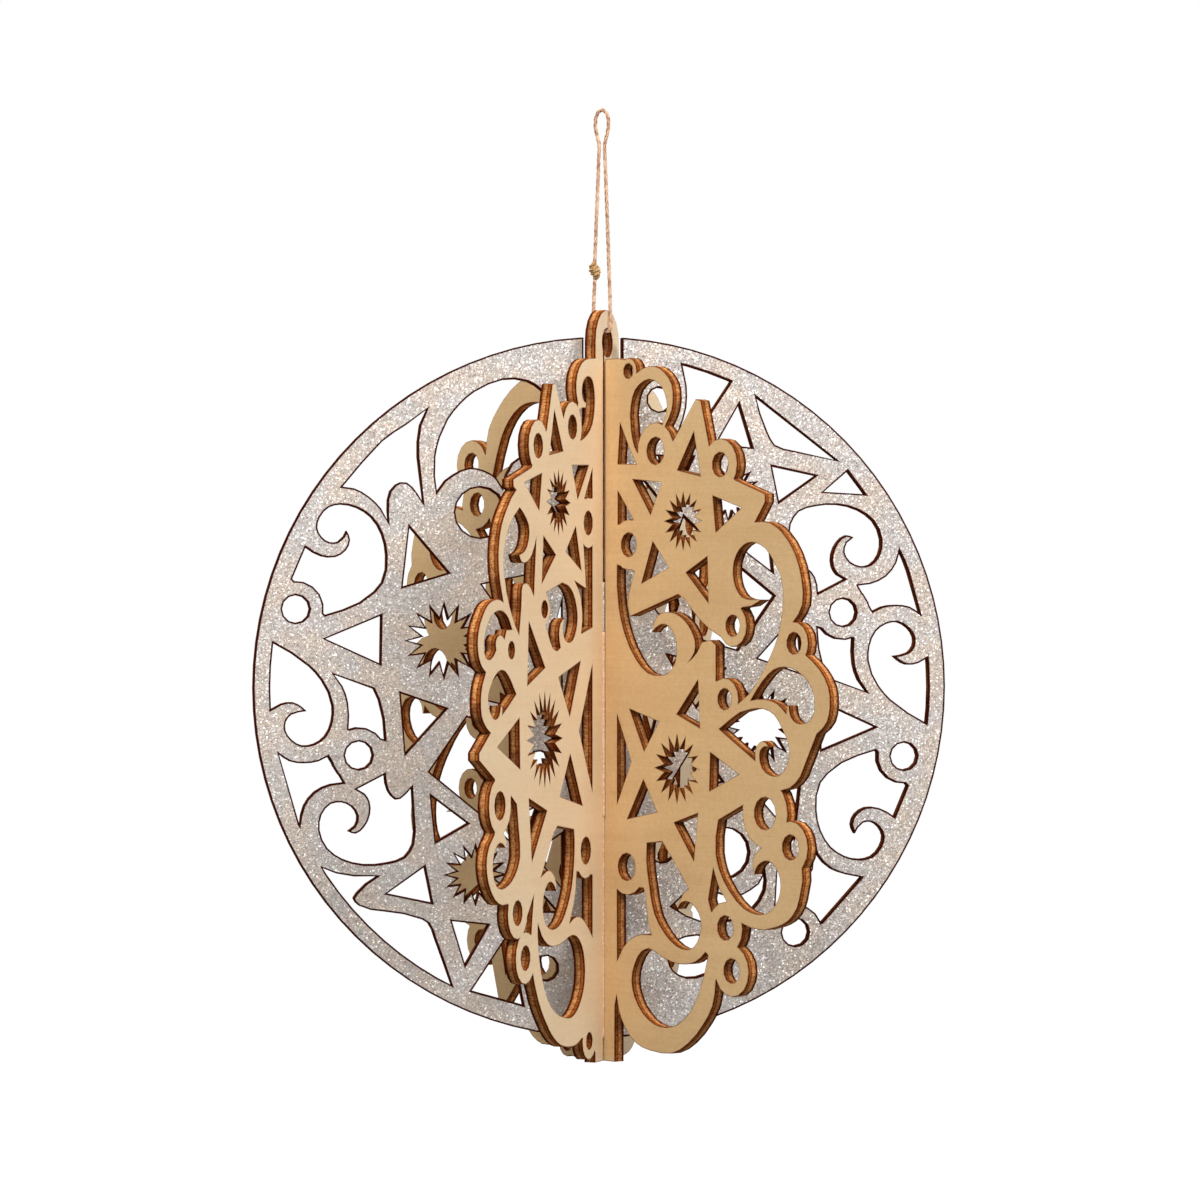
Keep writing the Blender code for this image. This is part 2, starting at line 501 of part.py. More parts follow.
    panel.eyelets([(23.4, 66), (11.9, -39.9)], LARGE_BORE, LARGE_WALL)
    panel.eyelets([(53.5, 21.8), (76.6, 17.6), (50.4, 3.5)], MIDDLE_BORE, MIDDLE_WALL)
    panel.eyelets([(65.7, -24.5)], WIDE_BORE, WIDE_WALL)
    panel.eyelets([(12.5, 86.6)], CORNER_BORE, CORNER_WALL)
    panel.star((34.3, 48.1), size=0.98, turn=7.5, sun_size=7.3, rays=16)
    panel.star((31.9, -14.3), size=1.03, turn=-2, sun_size=8.7, rays=16)
    return panel


def material(name, colour, roughness, metallic=0.0):
    made = bpy.data.materials.new(name)
    made.use_nodes = True
    shader = made.node_tree.nodes["Principled BSDF"]
    shader.inputs["Base Color"].default_value = (*colour, 1)
    shader.inputs["Roughness"].default_value = roughness
    shader.inputs["Metallic"].default_value = metallic
    return made


def placed(name, mesh, finish, parent):
    made = bpy.data.objects.new(name, mesh)
    made.data.materials.append(finish)
    made.parent = parent
    bpy.context.scene.collection.objects.link(made)
    return made


def sheet(name, drawing, finish, parent, height, angle):
    """A drawing cut from plywood and stood on the ornament's axis, at a height and an angle on its parent."""
    points = []
    faces = []
    for _, outline in drawing.shapes:
        faces.append(list(range(len(points), len(points) + len(outline))))
        points.extend(outline)
    places, _, triangles, _, _, covers = delaunay_2d_cdt(points, [], faces, 0, MERGE, True)
    work = bmesh.new()
    corners = [work.verts.new((s, -SHEET_THICKNESS / 2, z)) for s, z in places]
    for triangle, cover in zip(triangles, covers):
        if cover and drawing.shapes[max(cover)][0]:
            work.faces.new([corners[k] for k in triangle])
    bmesh.ops.delete(work, geom=[corner for corner in corners if not corner.link_faces], context="VERTS")
    bmesh.ops.remove_doubles(work, verts=work.verts, dist=MERGE)
    bmesh.ops.dissolve_limit(work, angle_limit=radians(0.5), verts=work.verts, edges=work.edges)
    bmesh.ops.triangulate(work, faces=work.faces)
    back = bmesh.ops.extrude_face_region(work, geom=work.faces[:])["geom"]
    moved = [item for item in back if isinstance(item, bmesh.types.BMVert)]
    bmesh.ops.translate(work, vec=(0, SHEET_THICKNESS, 0), verts=moved)
    bmesh.ops.recalc_face_normals(work, faces=work.faces)
    mesh = bpy.data.meshes.new(name)
    work.to_mesh(mesh)
    work.free()
    mesh.shade_smooth()
    mesh.set_sharp_from_angle(angle=radians(32))
    made = placed(name, mesh, finish, parent)
    made.location = (0, 0, height)
    made.rotation_euler = (0, 0, angle)
    return made


def cord_stations():
    """The cord's centre line as (across the hanger panel, above the eye's centre), from end to end."""
    bend = CORD_CLEARANCE + CORD_DIAMETER / 2
    face = SHEET_THICKNESS / 2
    side = face + bend
    lip = [
        (face + bend * sin(radians(turn)), EYE_BORE - bend * cos(radians(turn))) for turn in (0, 30, 60, 90)
    ]
    tab_top = EYE_BORE + EYE_WALL
    neck = (LOOP_NECK_WIDTH / 2, LOOP_HEIGHT - LOOP_NECK_DEPTH)
    bow = [
        (LOOP_WIDTH / 2, LOOP_HEIGHT - LOOP_WIDTH),
        (LOOP_WIDTH * 0.42, LOOP_HEIGHT - LOOP_WIDTH * 0.4),
        (LOOP_WIDTH * 0.25, LOOP_HEIGHT - LOOP_WIDTH * 0.11),
    ]
    knot_gap = KNOT_LENGTH / 2 + CORD_CLEARANCE
    knot_side = -KNOT_LEAN * side
    tail = [(knot_side, KNOT_HEIGHT - knot_gap), (-side, tab_top)]
    through = [(-n, z) for n, z in reversed(lip)] + lip
    rise = [(side, tab_top), (-knot_side, KNOT_HEIGHT)]
    shoulder = Vector(rise[-1]).lerp(neck, LOOP_STRAIGHT_SHARE)
    half_crown = [tuple(shoulder), neck, *bow]
    crown = [*half_crown, (0, LOOP_HEIGHT)] + [(-n, z) for n, z in reversed(half_crown)]
    return tail + through + rise + crown + [(knot_side, KNOT_HEIGHT + knot_gap)]


def smooth_path(stations, spacing):
    """Points close together along an open curve through the stations."""
    slopes = [(stations[1] - stations[0]).normalized()]
    for before, here, after in zip(stations, stations[1:], stations[2:]):
        slopes.append(slope_at(before, here, after))
    slopes.append((stations[-1] - stations[-2]).normalized())
    path = []
    for start, end, leave, arrive in zip(stations, stations[1:], slopes, slopes[1:]):
        run = (end - start).length
        path.extend(curve_between(start, end, leave * run, arrive * run, ceil(run / spacing)))
    return path + [stations[-1]]


def across(station):
    """A place beside the hanger panel, from (across it, above the eye's centre)."""
    n, z = station
    turn = pi / 2 - 2 * PANEL_ANGLE
    return Vector((n * cos(turn), n * sin(turn), z - LOOP_HEIGHT))


def cord(name, finish):
    """The twine as one round rod, bent along its stations."""
    path = smooth_path([across(station) for station in cord_stations()], 2.6 * CORD_DIAMETER)
    curve = bpy.data.curves.new(name, "CURVE")
    curve.dimensions = "3D"
    curve.bevel_depth = CORD_DIAMETER / 2
    curve.bevel_resolution = 2
    curve.use_fill_caps = True
    line = curve.splines.new("POLY")
    line.points.add(len(path) - 1)
    for point, place in zip(line.points, path):
        point.co = (*place, 1)
    placed(name, curve, finish, None)


def knot(name, finish):
    """A small round knot, its coils wound about the strand between the cord's two ends."""
    middle = across((-KNOT_LEAN * (SHEET_THICKNESS / 2 + CORD_CLEARANCE + CORD_DIAMETER / 2), KNOT_HEIGHT))
    work = bmesh.new()
    rows = []
    for k in range(KNOT_ROWS):
        share = (k + 0.5) / KNOT_ROWS
        swell = KNOT_RADIUS * sin(pi * share) ** 0.45
        row = []
        for side in range(KNOT_SIDES):
            bearing = 2 * pi * side / KNOT_SIDES
            groove = 1 - KNOT_GROOVE_SHARE * (1 - cos(2 * pi * KNOT_COILS * share + bearing)) / 2
            offset = Vector((cos(bearing), sin(bearing), 0)) * swell * groove
            height = Vector((0, 0, (k / (KNOT_ROWS - 1) - 0.5) * KNOT_LENGTH))
            row.append(work.verts.new(middle + offset + height))
        rows.append(row)
    for lower, upper in zip(rows, rows[1:]):
        for side in range(KNOT_SIDES):
            beside = (side + 1) % KNOT_SIDES
            work.faces.new((lower[side], lower[beside], upper[beside], upper[side]))
    work.faces.new(rows[0][::-1])
    work.faces.new(rows[-1])
    mesh = bpy.data.meshes.new(name)
    work.to_mesh(mesh)
    work.free()
    mesh.shade_smooth()
    placed(name, mesh, finish, None)


for old in list(bpy.data.objects):
    bpy.data.objects.remove(old)

glitter = material("silver_glitter", (0.60, 0.57, 0.54), 0.35, 0.6)
pale_plywood = material("pale_plywood", (0.83, 0.66, 0.44), 0.6)
tan_plywood = material("tan_plywood", (0.69, 0.46, 0.23), 0.6)
twine = material("pink_gold_twine", (0.55, 0.33, 0.25), 0.7)
knot_twine = material("pink_gold_knot", (0.50, 0.29, 0.22), 0.7)

pivot = bpy.data.objects.new("eye_pivot", None)
pivot.location = (0, 0, -LOOP_HEIGHT)
bpy.context.scene.collection.objects.link(pivot)

upper_lap = UPPER_LAP_HEIGHT
lower_lap = -LOWER_LAP_DEPTH
far = DISC_RADIUS + PANEL_RADIUS
half_gap = LAP_GAP / 2

disc = draw_disc()
disc.slot(DISC_SLOT_CLEARANCE, upper_lap - half_gap, far)
disc.slot(DISC_SLOT_CLEARANCE, -far, lower_lap + half_gap)
sheet("glitter_disc", disc, glitter, pivot, -EYE_HEIGHT, 0)

hanger = draw_hanger_panel()
hanger.slot(PANEL_SLOT_CLEARANCE, -far, upper_lap + half_gap + PANEL_DROP)
sheet("hanger_panel", hanger, pale_plywood, pivot, -EYE_HEIGHT - PANEL_DROP, -2 * PANEL_ANGLE)

scroll = draw_scroll_panel()
scroll.slot(PANEL_SLOT_CLEARANCE, lower_lap - half_gap + PANEL_DROP, far)
sheet("scroll_panel", scroll, tan_plywood, pivot, -EYE_HEIGHT - PANEL_DROP, -PANEL_ANGLE)

cord("hanging_cord", twine)
knot("cord_knot", knot_twine)
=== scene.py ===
# %% [markdown]
# # A hanging snowflake of crossed plywood sheets
# The ornament is three fretted sheets of thin plywood that cross on one upright axis, hung on a loop of
# twine. One sheet is a round disc with glitter on both faces, and the other two are bare wood. The packed
# model already holds the exact shapes, so this script keeps them and adds what a solid can't show: the
# grain of the veneer, the scorched edges that a laser leaves, the glitter, and the twist of the twine.

# %% Load the packed model
from math import ceil, cos, pi, radians, sin
from random import Random

import bmesh
import bpy
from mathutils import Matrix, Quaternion, Vector


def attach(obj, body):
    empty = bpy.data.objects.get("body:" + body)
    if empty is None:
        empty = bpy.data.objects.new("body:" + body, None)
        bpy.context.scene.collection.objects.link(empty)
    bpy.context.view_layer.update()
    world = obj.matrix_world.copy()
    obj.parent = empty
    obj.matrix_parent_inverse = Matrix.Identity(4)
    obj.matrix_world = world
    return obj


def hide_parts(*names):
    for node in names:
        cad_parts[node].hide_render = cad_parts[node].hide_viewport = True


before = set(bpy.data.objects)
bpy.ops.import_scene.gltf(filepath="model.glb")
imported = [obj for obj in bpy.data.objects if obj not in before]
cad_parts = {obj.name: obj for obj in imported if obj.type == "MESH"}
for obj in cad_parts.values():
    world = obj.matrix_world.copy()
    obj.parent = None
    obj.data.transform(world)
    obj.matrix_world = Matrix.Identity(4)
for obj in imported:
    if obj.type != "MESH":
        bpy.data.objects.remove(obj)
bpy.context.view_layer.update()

MM = 0.001

# %% [markdown]
# ## The camera
# The photograph was taken level with the ornament and a little to the left of the disc's face, from far
# enough away that the rim stays nearly round. A long lens at a bit over a metre gives that flat
# perspective. The camera looks at a point on the axis, set half a millimetre to the left, which is where
# the axis stands in the picture.

# %% The camera
CAMERA_AZIMUTH = radians(-9)
CAMERA_DISTANCE = 1.286
CAMERA_HEIGHT = -0.126
CAMERA_ASIDE = 0.5 * MM
LENS_MM = 150
SENSOR_MM = 36

towards_camera = Vector((sin(CAMERA_AZIMUTH), -cos(CAMERA_AZIMUTH), 0))
camera_right = Vector((cos(CAMERA_AZIMUTH), sin(CAMERA_AZIMUTH), 0))
aim = Vector((0, 0, CAMERA_HEIGHT)) - CAMERA_ASIDE * camera_right

camera_data = bpy.data.cameras.new("photo_camera")
camera_data.lens = LENS_MM
camera_data.sensor_width = SENSOR_MM
camera = bpy.data.objects.new("photo_camera", camera_data)
camera.location = aim + CAMERA_DISTANCE * towards_camera
camera.rotation_euler = towards_camera.to_track_quat("Z", "Y").to_euler()
bpy.context.scene.collection.objects.link(camera)
bpy.context.scene.camera = camera
print("the frame is", round(CAMERA_DISTANCE * SENSOR_MM / LENS_MM, 4), "m wide at the axis")

# %% [markdown]
# ## The twine's route
# The cord is one short piece of thin twine. It leaves its knot, drops to the eye, goes through it and
# round its lip, climbs to the loop's top and comes back down to the knot. The route repeats the points of
# the solid cord, as (across the tabbed sheet, above the eye) in millimetres, with a smooth curve through
# them. Both strands mirror each other at the lip and at the loop's crown, so those points are written
# once.

# %% The route's points
EYE_BELOW_TOP = 59.9 * MM
SHEET_TURN = {"glitter_disc": 0, "hanger_panel": radians(-120), "scroll_panel": radians(-60)}
LIP = [(1.5, 3.0), (1.9, 3.107), (2.193, 3.4), (2.3, 3.8)]
ABOVE_LIP = (2.3, 8.5)
KNOT_ACROSS, KNOT_UP = -1.955, 18.7
KNOT_BELOW, KNOT_ABOVE = (KNOT_ACROSS, 16.2), (KNOT_ACROSS, 21.2)
CROWN = [(0.8705, 47.32), (0.75, 50.5), (1.8, 56.3), (1.512, 58.46), (0.9, 59.504)]
LOOP_TOP = (0, 59.9)


def other_side(stations):
    return [(-across, up) for across, up in reversed(stations)]


def in_place(station):
    across, up = station
    turn = SHEET_TURN["hanger_panel"] + pi / 2
    return Vector((across * cos(turn), across * sin(turn), up)) * MM - Vector((0, 0, EYE_BELOW_TOP))


EYE_EXIT = other_side(LIP)[0]
CORD_STATIONS = [
    KNOT_BELOW, *other_side([*LIP, ABOVE_LIP]), *LIP, ABOVE_LIP, (-KNOT_ACROSS, KNOT_UP),
    *CROWN, LOOP_TOP, *other_side(CROWN), KNOT_ABOVE,
]
print("the cord's route has", len(CORD_STATIONS), "points set by hand")

# %% [markdown]
# ## A smooth curve through the points
# Straight runs between the points would look like bent wire. A cubic between each pair of points, with
# one slope shared by both sides of every point, gives the soft bends of thread. The same curve gives the
# length.

# %% The smooth route
CORD_STEP = 0.25 * MM


def slope(before, here, after):
    back, ahead = (here - before).length, (after - here).length
    return ((here - before) / back * ahead + (after - here) / ahead * back) / (back + ahead)


def smooth_route(places, step):
    """Points about one step apart on a smooth curve through the places."""
    slopes = [(places[1] - places[0]).normalized()]
    slopes += [slope(*three) for three in zip(places, places[1:], places[2:])]
    slopes.append((places[-1] - places[-2]).normalized())
    route = []
    for start, end, leave, arrive in zip(places, places[1:], slopes, slopes[1:]):
        run = (end - start).length
        count = ceil(run / step)
        for t in (k / count for k in range(count)):
            route.append(
                (2 * t**3 - 3 * t**2 + 1) * start + (t**3 - 2 * t**2 + t) * leave * run
                + (3 * t**2 - 2 * t**3) * end + (t**3 - t**2) * arrive * run
            )
    return route + [places[-1]]


def length_of(route):
    return sum((b - a).length for a, b in zip(route, route[1:]))


cord_route = smooth_route([in_place(station) for station in CORD_STATIONS], CORD_STEP)
CORD_LENGTH = length_of(cord_route)
print("the cord's route has", len(cord_route), "points and is", round(CORD_LENGTH, 4), "m long")

# %% [markdown]
# ## Round rods along a line
# Yarns and beads of glue are both thin round rods that follow a line of points. A disc is pushed from
# point to point by extruding its cap, and each new ring is set square to the line. A frame that is
# carried along the line without turning about it keeps the rings from twisting. Each corner also stores
# where it lies across and along its rod, so that the fibres of a material can follow it.

# %% Rods
ROD_SIDES = 10


def carried_frames(route):
    """(point, sideways, upwards) at each point of the route, turning as little as the route allows."""
    ahead = (route[1] - route[0]).normalized()
    side = ahead.orthogonal().normalized()
    frames = []
    for k, point in enumerate(route):
        nearby = route[min(k + 1, len(route) - 1)] - route[max(k - 1, 0)]
        turn = ahead.rotation_difference(nearby.normalized())
        side = (turn @ side).normalized()
        ahead = nearby.normalized()
        frames.append((point, side, ahead.cross(side)))
    return frames


def rod(work, layer, centres, radius):
    """A round rod through the centres, added to a bmesh with closed ends. Returns its faces."""
    earlier = set(work.faces)
    made = bmesh.ops.create_circle(work, cap_ends=True, segments=ROD_SIDES, radius=radius)
    ring = made["verts"]
    cap = ring[0].link_faces[0]
    travelled = 0
    for k, (centre, side, up) in enumerate(carried_frames(centres)):
        if k > 0:
            travelled += (centre - centres[k - 1]).length
            grown = bmesh.ops.extrude_face_region(work, geom=[cap])["geom"]
            if k > 1:
                bmesh.ops.delete(work, geom=[cap], context="FACES_ONLY")
            cap = next(item for item in grown if isinstance(item, bmesh.types.BMFace))
            ring = list(cap.verts)
        for n, corner in enumerate(ring):
            bearing = 2 * pi * n / ROD_SIDES
            corner.co = centre + radius * (cos(bearing) * side + sin(bearing) * up)
            corner[layer] = Vector((radius * cos(bearing), radius * sin(bearing), travelled))
    added = list(set(work.faces) - earlier)
    bmesh.ops.recalc_face_normals(work, faces=added)
    return added


def start_rods():
    work = bmesh.new()
    return work, work.verts.layers.float_vector.new("fibre")


def finished(name, work, *materials):
    """The bmesh as an object at the origin, with its materials."""
    mesh = bpy.data.meshes.new(name)
    work.to_mesh(mesh)
    work.free()
    made = bpy.data.objects.new(name, mesh)
    for finish in materials:
        mesh.materials.append(finish)
    bpy.context.scene.collection.objects.link(made)
    print(name, "has", len(mesh.polygons), "faces")
    return made


print("a rod has", ROD_SIDES, "sides")

# %% [markdown]
# ## Twisted strands
# Twine is a few yarns twisted together, so one plain tube would look like wire. Here each yarn is a rod
# of its own that winds round the route, and the yarns start a third of a turn apart.

# %% Strands
YARNS = 3
YARN_RADIUS = 0.265 * MM
YARN_OFFSET = 0.235 * MM
TWIST_LENGTH = 5.4 * MM


def twisted(work, layer, route, radius=YARN_RADIUS):
    """The yarns of a twine that follows the route."""
    frames = carried_frames(route)
    step = length_of(route) / (len(route) - 1)
    for number in range(YARNS):
        centres = []
        for k, (point, side, up) in enumerate(frames):
            bearing = 2 * pi * (number / YARNS + k * step / TWIST_LENGTH)
            centres.append(point + YARN_OFFSET * (cos(bearing) * side + sin(bearing) * up))
        rod(work, layer, centres, radius)


print("the cord's yarns turn", round(CORD_LENGTH / TWIST_LENGTH, 1), "times")

# %% [markdown]
# ## Shader maths as expressions
# A procedural finish is mostly arithmetic on patterns. This small class wraps a node's output, so that
# adding or multiplying two of them adds the Math node for it.

# %% Signals


class Signal:
    """A number, colour, vector or shader that a node gives out. Arithmetic on it adds Math nodes."""

    def __init__(self, graph, socket):
        self.graph = graph
        self.socket = socket

    def maths(self, operation, first, second=0.0, clamp=False):
        settings = {"operation": operation, "use_clamp": clamp}
        return self.graph.node("ShaderNodeMath", settings, {0: first, 1: second})

    def __add__(self, other):
        return self.maths("ADD", self, other)

    def __radd__(self, other):
        return self.maths("ADD", other, self)

    def __sub__(self, other):
        return self.maths("SUBTRACT", self, other)

    def __rsub__(self, other):
        return self.maths("SUBTRACT", other, self)

    def __mul__(self, other):
        return self.maths("MULTIPLY", self, other)

    def __rmul__(self, other):
        return self.maths("MULTIPLY", other, self)

    def __pow__(self, other):
        return self.maths("POWER", self, other)

    def clamped(self):
        return self.maths("ADD", self, 0.0, clamp=True)


print("made", Signal.__name__ + ":", Signal.__doc__)

# %% [markdown]
# ## Node trees in the making
# One method makes every other kind of node: it takes the node's type, its settings, and the values or
# links of its sockets. The few kinds that come back again and again have a short name of their own. A
# material starts from the Principled shader that Blender gives it, and only the sockets that a finish
# names are fed.

# %% Node trees
NOISE_LOW, NOISE_HIGH = 0.3, 0.7


class Graph:
    """A node tree in the making."""

    def __init__(self, tree):
        self.tree = tree

    def node(self, kind, settings=None, inputs=None, output=0):
        made = self.tree.nodes.new(kind)
        for key, value in (settings or {}).items():
            if key == "stops":
                self.set_stops(made.color_ramp, value)
            else:
                setattr(made, key, value)
        for key, value in (inputs or {}).items():
            self.feed(made.inputs[key], value)
        return None if output is None else Signal(self, made.outputs[output])

    def set_stops(self, ramp, stops):
        while len(ramp.elements) < len(stops):
            ramp.elements.new(1)
        for element, (place, colour) in zip(ramp.elements, stops):
            element.position = place
            element.color = (*colour, 1)

    def feed(self, socket, value):
        if isinstance(value, Signal):
            self.tree.links.new(value.socket, socket)
        else:
            socket.default_value = value

    def place(self, turn=0.0, scale=(1, 1, 1)):
        """The object's own coordinates, turned about the axis into the sheet's plane and then stretched."""
        own = self.node("ShaderNodeTexCoord", output="Object")
        settled = self.node("ShaderNodeMapping", None, {"Vector": own, "Rotation": (0, 0, -turn)})
        return self.scaled(settled, scale)

    def scaled(self, vector, scale):
        return self.node("ShaderNodeVectorMath", {"operation": "MULTIPLY"}, {0: vector, 1: scale})

    def noise(self, vector, scale=1.0, detail=2.0, roughness=0.5):
        """Soft random patches that waver about a half."""
        inputs = {"Vector": vector, "Scale": scale, "Detail": detail, "Roughness": roughness}
        return self.node("ShaderNodeTexNoise", None, inputs)

    def between(self, value, low, high, to_low=0.0, to_high=1.0):
        """The value's way from low to high, eased at both ends."""
        inputs = {"Value": value, 1: low, 2: high, 3: to_low, 4: to_high}
        return self.node("ShaderNodeMapRange", {"interpolation_type": "SMOOTHSTEP"}, inputs)

    def spread(self, noise, low, high):
        """The usual range of a noise, spread from low to high."""
        return self.between(noise, NOISE_LOW, NOISE_HIGH, low, high)

    def mix(self, share, first, second, blend="MIX"):
        """Two colours mixed. They go into the Mix node's sockets 6 and 7, and output 2 gives the result."""
        settings = {"data_type": "RGBA", "blend_type": blend}
        return self.node("ShaderNodeMix", settings, {0: share, 6: first, 7: second}, output=2)

    def bump(self, height, strength, distance):
        inputs = {"Height": height, "Strength": strength, "Distance": distance}
        return self.node("ShaderNodeBump", None, inputs)

    def attribute(self, name, output):
        return self.node("ShaderNodeAttribute", {"attribute_name": name}, output=output)


class Finish(Graph):
    """A material in the making."""

    def __init__(self, name):
        self.material = bpy.data.materials.new(name)
        self.material.use_nodes = True
        super().__init__(self.material.node_tree)

    def surface(self, **inputs):
        shader = self.tree.nodes["Principled BSDF"]
        for key, value in inputs.items():
            self.feed(shader.inputs[key.replace("_", " ").title().replace("Ior", "IOR")], value)
        return self.material


def rgb(red, green, blue):
    """A colour as it looks on a screen, from 0 to 255, as the shader's linear numbers."""
    parts = (part / 255 for part in (red, green, blue))
    return tuple(part / 12.92 if part <= 0.04045 else ((part + 0.055) / 1.055) ** 2.4 for part in parts)


WHITE = (1, 1, 1, 1)
print("a middle grey on the screen is", round(rgb(128, 128, 128)[0], 3), "in linear numbers")

# %% [markdown]
# ## Bare veneer
# The faces are a thin light hardwood veneer, sanded and left bare. Its grain runs level across each sheet
# as fine, nearly straight streaks with short darker pores, and its tone drifts a little from place to
# place. The two sheets differ: one is cream, the other honey. Along every cut the heat has toasted a
# hair's breadth of the face, which the attribute called scorch marks. Each pattern is noise at its own
# stretch, and the shade of the wood is their sum.

# %% The veneer finish
FIBRE_SCALE = (55, 55, 1900)
FIGURE_SCALE = (9, 9, 140)
PORE_SCALE = (210, 210, 3600)
CLOUD_SCALE = 22
MOTTLE_SCALE = 1100
FIBRE_SHADE, FIGURE_SHADE, PORE_SHADE, CLOUD_SHADE, MOTTLE_SHADE = 0.55, 0.9, 0.35, 0.8, 0.7
MEAN_SHADE = 0.38
PORE_CUT = (0.66, 0.76)
SCORCH_FADE = 1.6
SCORCH_PATCHES = (0.2, 0.75, 0.65, 1.0)
FIBRE_HEIGHT = 0.5
VENEER_BUMP, VENEER_RELIEF = 0.12, 0.05 * MM
VENEER_ROUGHNESS = (0.56, 0.68)
BARE_WOOD_GLOSS = 0.22
CREAM, CREAM_DARK, CREAM_TOAST = rgb(240, 216, 181), rgb(228, 197, 156), rgb(118, 58, 24)
HONEY, HONEY_DARK, HONEY_TOAST = rgb(225, 192, 143), rgb(206, 167, 117), rgb(112, 54, 22)


def veneer(name, node, light, dark, toast):
    """The bare wood of a sheet's faces, with its grain level in the plane of the node's sheet."""
    finish = Finish(name)
    turn = SHEET_TURN[node]
    fibres = finish.noise(finish.place(turn, FIBRE_SCALE), detail=3)
    figure = finish.noise(finish.place(turn, FIGURE_SCALE), detail=2)
    pores = finish.between(finish.noise(finish.place(turn, PORE_SCALE), detail=1), *PORE_CUT)
    cloud = finish.noise(finish.place(turn), scale=CLOUD_SCALE, detail=2)
    mottle = finish.noise(finish.place(turn), scale=MOTTLE_SCALE, detail=1)
    streaks = (fibres - 0.5) * FIBRE_SHADE + (figure - 0.5) * FIGURE_SHADE + pores * PORE_SHADE
    shade = streaks + (cloud - 0.5) * CLOUD_SHADE + (mottle - 0.5) * MOTTLE_SHADE + MEAN_SHADE
    wood = finish.mix(shade.clamped(), (*light, 1), (*dark, 1))
    scorch = finish.attribute("scorch", "Fac") ** SCORCH_FADE * finish.between(cloud, *SCORCH_PATCHES)
    colour = finish.mix(scorch.clamped(), wood, (*toast, 1))
    relief = fibres * FIBRE_HEIGHT - pores
    return finish.surface(
        base_color=colour,
        roughness=finish.spread(fibres, *VENEER_ROUGHNESS),
        specular_ior_level=BARE_WOOD_GLOSS,
        normal=finish.bump(relief, VENEER_BUMP, VENEER_RELIEF),
    )


pale_face = veneer("pale_veneer", "hanger_panel", CREAM, CREAM_DARK, CREAM_TOAST)
tan_face = veneer("tan_veneer", "scroll_panel", HONEY, HONEY_DARK, HONEY_TOAST)
print("veneers", pale_face.name, tan_face.name)

# %% [markdown]
# ## Scorched plywood edges
# A laser cuts the sheets, and it leaves their edges brown. Three plies show: an amber skin, a lighter core
# with the specks of end grain, and a dark skin, with a dark line of glue between the amber skin and the
# core. The amber skin is painted on the lit side of each sheet, the side that faces the camera and the
# front lamps, and the dark skin on the far side, so the difference between the two skins is painted light
# and shade. Fine ticks run across the thickness, one for each pulse, and soot darkens some stretches. The
# plies need only the depth through the sheet, which is the sideways coordinate once the axes are turned
# into the sheet's plane.

# %% The edge finish
SHEET_THICKNESS = 3.0 * MM
# Ply colours from the far side, 0, to the lit side, 1. The dark far skin is painted shade and the amber
# skin on the lit side is painted light; the glue line and the core are the wood's own.
PLY_AND_SHADE_STOPS = [
    (0.0, rgb(48, 14, 5)),
    (0.10, rgb(86, 32, 11)),
    (0.20, rgb(136, 64, 26)),
    (0.27, rgb(206, 144, 86)),
    (0.42, rgb(224, 166, 108)),
    (0.57, rgb(218, 158, 98)),
    (0.64, rgb(120, 50, 17)),
    (0.70, rgb(180, 106, 48)),
    (0.83, rgb(182, 106, 48)),
    (0.91, rgb(108, 42, 13)),
    (1.0, rgb(76, 26, 9)),
]
PLY_WANDER, WANDER_SCALE = 0.10, 420
TICK_SCALE = (2600, 260, 2600)
SPECK_SCALE = 5200
BLOT_SCALE = 1900
SOOT_SCALE = 160
TICK_SHARE, SPECK_SHARE, BLOT_SHARE = 0.3, 0.3, 0.4
TICK_HEIGHT, SPECK_HEIGHT = 0.6, 0.4
GRAIN_CUT, SOOT_CUT = (0.40, 0.60), (0.48, 0.70)
GRAIN_SHADE = (0.44, 0.30, 0.21, 1)
EDGE_BUMP, EDGE_RELIEF = 0.35, 0.08 * MM
EDGE_ROUGHNESS = (0.6, 0.85)
CHARRED_GLOSS = 0.0
PANEL_SOOT, DISC_SOOT = rgb(70, 22, 8), rgb(52, 13, 6)
PANEL_SOOT_SHARES, DISC_SOOT_SHARES = (0.05, 0.56), (0.78, 0.97)


def scorched_edge(name, node, lit_side, soot, soot_shares):
    """The cut edge of a node's sheet. Its lit side, 1 or -1, gets the amber skin as painted light, and the
    far skin is painted dark as shade. Soot covers least to most.
    """
    finish = Finish(name)
    turn = SHEET_TURN[node]
    own = finish.place(turn)
    depth = finish.node("ShaderNodeSeparateXYZ", None, {0: own}, output="Y")
    wander = finish.noise(own, scale=WANDER_SCALE, detail=2) - 0.5
    # The skin on the lit side comes out amber and the far skin dark: painted light and shade across the
    # cut.
    through = depth * (lit_side / SHEET_THICKNESS) + 0.5 + wander * PLY_WANDER
    plies_and_shade = finish.node("ShaderNodeValToRGB", {"stops": PLY_AND_SHADE_STOPS}, {"Fac": through})
    ticks = finish.noise(finish.place(turn, TICK_SCALE), detail=2)
    specks = finish.noise(own, scale=SPECK_SCALE, detail=1)
    blots = finish.noise(own, scale=BLOT_SCALE, detail=2)
    worn = ticks * TICK_SHARE + specks * SPECK_SHARE + blots * BLOT_SHARE
    grain = finish.mix(finish.between(worn, *GRAIN_CUT), GRAIN_SHADE, WHITE)
    worked = finish.mix(1.0, plies_and_shade, grain, blend="MULTIPLY")
    smoke = finish.noise(own, scale=SOOT_SCALE, detail=2)
    sooty = finish.between(smoke, *SOOT_CUT, *soot_shares)
    return finish.surface(
        base_color=finish.mix(sooty, worked, (*soot, 1)),
        roughness=finish.spread(ticks, *EDGE_ROUGHNESS),
        specular_ior_level=CHARRED_GLOSS,
        normal=finish.bump(ticks * TICK_HEIGHT + specks * SPECK_HEIGHT, EDGE_BUMP, EDGE_RELIEF),
    )
